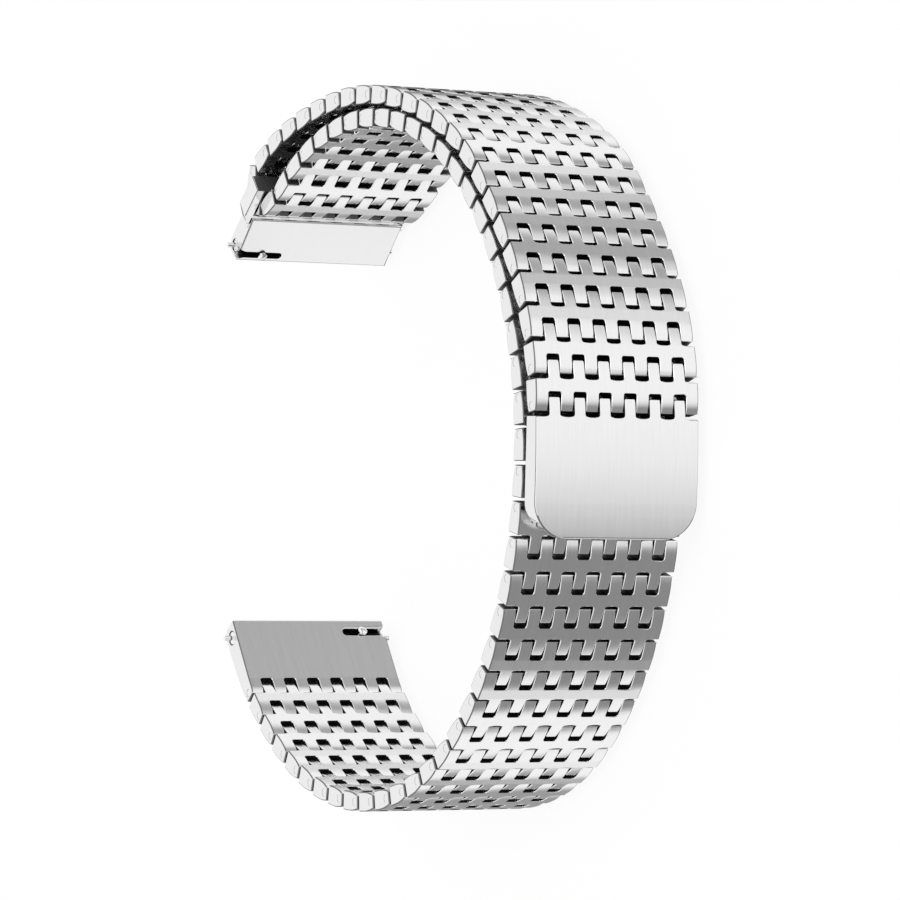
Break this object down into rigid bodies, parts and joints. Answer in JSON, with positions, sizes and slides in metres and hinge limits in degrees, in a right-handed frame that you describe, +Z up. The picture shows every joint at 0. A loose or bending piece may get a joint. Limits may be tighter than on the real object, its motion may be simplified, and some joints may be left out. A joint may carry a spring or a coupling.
{
  "type": "watch band",
  "caption": "Steel watch band of fingered links on pins, run through a frame and folded back to a magnetic clasp plate, with quick-release spring bars at both lug ends.",
  "frame": {"origin": "bottom centre of the bounding box of the closed band lying on its edge", "axes": "X from the lug ends to the clasp, Y from the lower end piece to the upper one, Z up across the width of the strap"},
  "size_m": [0.0768, 0.0826, 0.0223],
  "materials": {
    "links": "flat sides polished, faces finely brushed",
    "end_piece": "brushed along the strap",
    "clasp_face": "brushed across the strap",
    "cover": "satin",
    "magnet": "nickel plated",
    "spring_wire": "bright wire",
    "polished_pin": "polished"
  },
  "bodies": {
    "lower_end": {"lower_end_piece": "end_piece", "lower_bar_tube": "polished_pin", "lower_bar_spring": "spring_wire"},
    "inner_link_01": {"inner_link_01": "links"},
    "inner_link_02": {"inner_link_02": "links"},
    "inner_link_03": {"inner_link_03": "links"},
    "inner_link_04": {"inner_link_04": "links"},
    "inner_link_05": {"inner_link_05": "links"},
    "inner_link_06": {"inner_link_06": "links"},
    "inner_link_07": {"inner_link_07": "links"},
    "inner_link_08": {"inner_link_08": "links"},
    "inner_link_09": {"inner_link_09": "links"},
    "inner_link_10": {"inner_link_10": "links"},
    "inner_link_11": {"inner_link_11": "links"},
    "inner_link_12": {"inner_link_12": "links"},
    "inner_link_13": {"inner_link_13": "links"},
    "inner_link_14": {"inner_link_14": "links"},
    "inner_link_15": {"inner_link_15": "links"},
    "inner_link_16": {"inner_link_16": "links"},
    "inner_link_17": {"inner_link_17": "links"},
    "inner_link_18": {"inner_link_18": "links"},
    "inner_link_19": {"inner_link_19": "links"},
    "inner_link_20": {"inner_link_20": "links"},
    "inner_link_21": {"inner_link_21": "links"},
    "inner_link_22": {"inner_link_22": "links"},
    "inner_links_23_24": {"inner_links_23_24": "links"},
    "inner_links_25_26": {"inner_links_25_26": "links"},
    "inner_links_27_28": {"inner_links_27_28": "links"},
    "inner_links_29_30": {"inner_links_29_30": "links"},
    "inner_links_31_32": {"inner_links_31_32": "links"},
    "inner_links_33_34": {"inner_links_33_34": "links"},
    "inner_links_35_36": {"inner_links_35_36": "links"},
    "inner_links_37_38": {"inner_links_37_38": "links"},
    "inner_links_39_40": {"inner_links_39_40": "links"},
    "inner_links_41_42": {"inner_links_41_42": "links"},
    "inner_links_43_44": {"inner_links_43_44": "links"},
    "inner_links_45_46": {"inner_links_45_46": "links"},
    "fold_link_1": {"fold_link_1": "links"},
    "fold_link_2": {"fold_link_2": "links"},
    "outer_link_01": {"outer_link_01": "links"},
    "outer_links_02_03": {"outer_links_02_03": "links"},
    "outer_links_04_05": {"outer_links_04_05": "links"},
    "outer_links_06_07": {"outer_links_06_07": "links"},
    "outer_links_08_09": {"outer_links_08_09": "links"},
    "outer_links_10_11": {"outer_links_10_11": "links"},
    "outer_links_12_13": {"outer_links_12_13": "links"},
    "outer_links_14_15": {"outer_links_14_15": "links"},
    "outer_links_16_17": {"outer_links_16_17": "links"},
    "outer_links_18_19": {"outer_links_18_19": "links"},
    "outer_links_20_21": {"outer_links_20_21": "links"},
    "outer_link_22": {"outer_link_22": "links"},
    "outer_link_23": {"outer_link_23": "links"},
    "clasp": {"clasp_plate": "clasp_face", "clasp_back_cover": "cover", "clasp_magnets": "magnet"},
    "upper_end": {"upper_end_piece": "end_piece", "upper_bar_tube": "polished_pin", "upper_bar_spring": "spring_wire"},
    "lower_plunger": {"lower_bar_plunger": "polished_pin"},
    "upper_plunger": {"upper_bar_plunger": "polished_pin"}
  },
  "joints": [
    {"name": "inner_link_01_hinge", "type": "hinge", "parent": "lower_end", "child": "inner_link_01", "pos_m": [-0.03096, -0.02926, 0.01115], "axis": [0, 0, -1], "range_deg": [-5, 12]},
    {"name": "inner_link_02_hinge", "type": "hinge", "parent": "inner_link_01", "child": "inner_link_02", "pos_m": [-0.02797, -0.03176, 0.01115], "axis": [0, 0, -1], "range_deg": [-5, 12]},
    {"name": "inner_link_03_hinge", "type": "hinge", "parent": "inner_link_02", "child": "inner_link_03", "pos_m": [-0.02477, -0.03399, 0.01115], "axis": [0, 0, -1], "range_deg": [-5, 12]},
    {"name": "inner_link_04_hinge", "type": "hinge", "parent": "inner_link_03", "child": "inner_link_04", "pos_m": [-0.02138, -0.03592, 0.01115], "axis": [0, 0, -1], "range_deg": [-5, 12]},
    {"name": "inner_link_05_hinge", "type": "hinge", "parent": "inner_link_04", "child": "inner_link_05", "pos_m": [-0.01783, -0.03754, 0.01115], "axis": [0, 0, -1], "range_deg": [-5, 12]},
    {"name": "inner_link_06_hinge", "type": "hinge", "parent": "inner_link_05", "child": "inner_link_06", "pos_m": [-0.01414, -0.03879, 0.01115], "axis": [0, 0, -1], "range_deg": [-5, 12]},
    {"name": "inner_link_07_hinge", "type": "hinge", "parent": "inner_link_06", "child": "inner_link_07", "pos_m": [-0.01033, -0.03964, 0.01115], "axis": [0, 0, -1], "range_deg": [-5, 12]},
    {"name": "inner_link_08_hinge", "type": "hinge", "parent": "inner_link_07", "child": "inner_link_08", "pos_m": [-0.00646, -0.04009, 0.01115], "axis": [0, 0, -1], "range_deg": [-5, 12]},
    {"name": "inner_link_09_hinge", "type": "hinge", "parent": "inner_link_08", "child": "inner_link_09", "pos_m": [-0.00256, -0.04017, 0.01115], "axis": [0, 0, -1], "range_deg": [-5, 12]},
    {"name": "inner_link_10_hinge", "type": "hinge", "parent": "inner_link_09", "child": "inner_link_10", "pos_m": [0.00133, -0.03988, 0.01115], "axis": [0, 0, -1], "range_deg": [-5, 12]},
    {"name": "inner_link_11_hinge", "type": "hinge", "parent": "inner_link_10", "child": "inner_link_11", "pos_m": [0.00518, -0.03923, 0.01115], "axis": [0, 0, -1], "range_deg": [-5, 12]},
    {"name": "inner_link_12_hinge", "type": "hinge", "parent": "inner_link_11", "child": "inner_link_12", "pos_m": [0.00895, -0.03822, 0.01115], "axis": [0, 0, -1], "range_deg": [-5, 12]},
    {"name": "inner_link_13_hinge", "type": "hinge", "parent": "inner_link_12", "child": "inner_link_13", "pos_m": [0.01257, -0.03679, 0.01115], "axis": [0, 0, -1], "range_deg": [-5, 12]},
    {"name": "inner_link_14_hinge", "type": "hinge", "parent": "inner_link_13", "child": "inner_link_14", "pos_m": [0.01602, -0.03496, 0.01115], "axis": [0, 0, -1], "range_deg": [-5, 12]},
    {"name": "inner_link_15_hinge", "type": "hinge", "parent": "inner_link_14", "child": "inner_link_15", "pos_m": [0.01923, -0.03275, 0.01115], "axis": [0, 0, -1], "range_deg": [-5, 12]},
    {"name": "inner_link_16_hinge", "type": "hinge", "parent": "inner_link_15", "child": "inner_link_16", "pos_m": [0.02218, -0.03019, 0.01115], "axis": [0, 0, -1], "range_deg": [-5, 12]},
    {"name": "inner_link_17_hinge", "type": "hinge", "parent": "inner_link_16", "child": "inner_link_17", "pos_m": [0.02485, -0.02736, 0.01115], "axis": [0, 0, -1], "range_deg": [-5, 12]},
    {"name": "inner_link_18_hinge", "type": "hinge", "parent": "inner_link_17", "child": "inner_link_18", "pos_m": [0.02723, -0.02427, 0.01115], "axis": [0, 0, -1], "range_deg": [-5, 12]},
    {"name": "inner_link_19_hinge", "type": "hinge", "parent": "inner_link_18", "child": "inner_link_19", "pos_m": [0.02929, -0.02096, 0.01115], "axis": [0, 0, -1], "range_deg": [-5, 12]},
    {"name": "inner_link_20_hinge", "type": "hinge", "parent": "inner_link_19", "child": "inner_link_20", "pos_m": [0.03101, -0.01746, 0.01115], "axis": [0, 0, -1], "range_deg": [-5, 12]},
    {"name": "inner_link_21_hinge", "type": "hinge", "parent": "inner_link_20", "child": "inner_link_21", "pos_m": [0.03241, -0.01381, 0.01115], "axis": [0, 0, -1], "range_deg": [-5, 12]},
    {"name": "inner_link_22_hinge", "type": "hinge", "parent": "inner_link_21", "child": "inner_link_22", "pos_m": [0.03347, -0.01006, 0.01115], "axis": [0, 0, -1], "range_deg": [-5, 12]},
    {"name": "inner_links_23_24_hinge", "type": "hinge", "parent": "inner_link_22", "child": "inner_links_23_24", "pos_m": [0.03419, -0.00623, 0.01115], "axis": [0, 0, -1], "range_deg": [-5, 12]},
    {"name": "inner_links_25_26_hinge", "type": "hinge", "parent": "inner_links_23_24", "child": "inner_links_25_26", "pos_m": [0.03454, 0.00155, 0.01115], "axis": [0, 0, 1], "range_deg": [0, 3]},
    {"name": "inner_links_27_28_hinge", "type": "hinge", "parent": "inner_links_25_26", "child": "inner_links_27_28", "pos_m": [0.03334, 0.00925, 0.01115], "axis": [0, 0, 1], "range_deg": [0, 3]},
    {"name": "inner_links_29_30_hinge", "type": "hinge", "parent": "inner_links_27_28", "child": "inner_links_29_30", "pos_m": [0.03062, 0.01655, 0.01115], "axis": [0, 0, 1], "range_deg": [0, 3]},
    {"name": "inner_links_31_32_hinge", "type": "hinge", "parent": "inner_links_29_30", "child": "inner_links_31_32", "pos_m": [0.02647, 0.02314, 0.01115], "axis": [0, 0, 1], "range_deg": [0, 3]},
    {"name": "inner_links_33_34_hinge", "type": "hinge", "parent": "inner_links_31_32", "child": "inner_links_33_34", "pos_m": [0.02107, 0.02876, 0.01115], "axis": [0, 0, 1], "range_deg": [0, 3]},
    {"name": "inner_links_35_36_hinge", "type": "hinge", "parent": "inner_links_33_34", "child": "inner_links_35_36", "pos_m": [0.01463, 0.03314, 0.01115], "axis": [0, 0, 1], "range_deg": [0, 3]},
    {"name": "inner_links_37_38_hinge", "type": "hinge", "parent": "inner_links_35_36", "child": "inner_links_37_38", "pos_m": [0.00741, 0.03606, 0.01115], "axis": [0, 0, 1], "range_deg": [0, 3]},
    {"name": "inner_links_39_40_hinge", "type": "hinge", "parent": "inner_links_37_38", "child": "inner_links_39_40", "pos_m": [-0.00026, 0.0374, 0.01115], "axis": [0, 0, 1], "range_deg": [0, 3]},
    {"name": "inner_links_41_42_hinge", "type": "hinge", "parent": "inner_links_39_40", "child": "inner_links_41_42", "pos_m": [-0.00805, 0.0372, 0.01115], "axis": [0, 0, 1], "range_deg": [0, 3]},
    {"name": "inner_links_43_44_hinge", "type": "hinge", "parent": "inner_links_41_42", "child": "inner_links_43_44", "pos_m": [-0.01566, 0.03552, 0.01115], "axis": [0, 0, 1], "range_deg": [0, 3]},
    {"name": "inner_links_45_46_hinge", "type": "hinge", "parent": "inner_links_43_44", "child": "inner_links_45_46", "pos_m": [-0.02272, 0.03224, 0.01115], "axis": [0, 0, 1], "range_deg": [0, 3]},
    {"name": "fold_link_1_hinge", "type": "hinge", "parent": "inner_links_45_46", "child": "fold_link_1", "pos_m": [-0.02942, 0.02829, 0.01115], "axis": [0, 0, 1], "range_deg": [0, 3]},
    {"name": "fold_link_2_hinge", "type": "hinge", "parent": "fold_link_1", "child": "fold_link_2", "pos_m": [-0.03326, 0.02898, 0.01115], "axis": [0, 0, 1], "range_deg": [0, 3]},
    {"name": "outer_link_01_hinge", "type": "hinge", "parent": "fold_link_2", "child": "outer_link_01", "pos_m": [-0.03274, 0.03285, 0.01115], "axis": [0, 0, 1], "range_deg": [0, 3]},
    {"name": "outer_links_02_03_hinge", "type": "hinge", "parent": "outer_link_01", "child": "outer_links_02_03", "pos_m": [-0.0294, 0.03487, 0.01115], "axis": [0, 0, 1], "range_deg": [0, 6]},
    {"name": "outer_links_04_05_hinge", "type": "hinge", "parent": "outer_links_02_03", "child": "outer_links_04_05", "pos_m": [-0.02215, 0.0377, 0.01115], "axis": [0, 0, 1], "range_deg": [0, 6]},
    {"name": "outer_links_06_07_hinge", "type": "hinge", "parent": "outer_links_04_05", "child": "outer_links_06_07", "pos_m": [-0.01455, 0.03944, 0.01115], "axis": [0, 0, 1], "range_deg": [0, 6]},
    {"name": "outer_links_08_09_hinge", "type": "hinge", "parent": "outer_links_06_07", "child": "outer_links_08_09", "pos_m": [-0.00679, 0.04021, 0.01115], "axis": [0, 0, 1], "range_deg": [0, 6]},
    {"name": "outer_links_10_11_hinge", "type": "hinge", "parent": "outer_links_08_09", "child": "outer_links_10_11", "pos_m": [0.00099, 0.0398, 0.01115], "axis": [0, 0, 1], "range_deg": [0, 6]},
    {"name": "outer_links_12_13_hinge", "type": "hinge", "parent": "outer_links_10_11", "child": "outer_links_12_13", "pos_m": [0.00862, 0.03822, 0.01115], "axis": [0, 0, 1], "range_deg": [0, 6]},
    {"name": "outer_links_14_15_hinge", "type": "hinge", "parent": "outer_links_12_13", "child": "outer_links_14_15", "pos_m": [0.01589, 0.03541, 0.01115], "axis": [0, 0, 1], "range_deg": [0, 6]},
    {"name": "outer_links_16_17_hinge", "type": "hinge", "parent": "outer_links_14_15", "child": "outer_links_16_17", "pos_m": [0.02245, 0.03123, 0.01115], "axis": [0, 0, 1], "range_deg": [0, 6]},
    {"name": "outer_links_18_19_hinge", "type": "hinge", "parent": "outer_links_16_17", "child": "outer_links_18_19", "pos_m": [0.02781, 0.02557, 0.01115], "axis": [0, 0, 1], "range_deg": [0, 6]},
    {"name": "outer_links_20_21_hinge", "type": "hinge", "parent": "outer_links_18_19", "child": "outer_links_20_21", "pos_m": [0.03249, 0.01933, 0.01115], "axis": [0, 0, 1], "range_deg": [0, 6]},
    {"name": "outer_link_22_hinge", "type": "hinge", "parent": "outer_links_20_21", "child": "outer_link_22", "pos_m": [0.03588, 0.01233, 0.01115], "axis": [0, 0, 1], "range_deg": [0, 6]},
    {"name": "outer_link_23_hinge", "type": "hinge", "parent": "outer_link_22", "child": "outer_link_23", "pos_m": [0.03684, 0.00855, 0.01115], "axis": [0, 0, 1], "range_deg": [0, 6]},
    {"name": "clasp_hinge", "type": "hinge", "parent": "outer_link_23", "child": "clasp", "pos_m": [0.03723, 0.00467, 0.01115], "axis": [0, 0, 1], "range_deg": [0, 45]},
    {"name": "upper_end_hinge", "type": "hinge", "parent": "fold_link_1", "child": "upper_end", "pos_m": [-0.02947, 0.03111, 0.01115], "axis": [0, 0, 1], "range_deg": [-7, 12]},
    {"name": "lower_plunger_slide", "type": "slide", "parent": "lower_end", "child": "lower_plunger", "axis": [0, 0, 1], "range_m": [0, 0.001], "stiffness_N_per_m": 800, "springref_m": -0.0025, "deforming": ["lower_bar_spring"]},
    {"name": "upper_plunger_slide", "type": "slide", "parent": "upper_end", "child": "upper_plunger", "axis": [0, 0, -1], "range_m": [0, 0.001], "stiffness_N_per_m": 800, "springref_m": -0.0025, "deforming": ["upper_bar_spring"]}
  ]
}
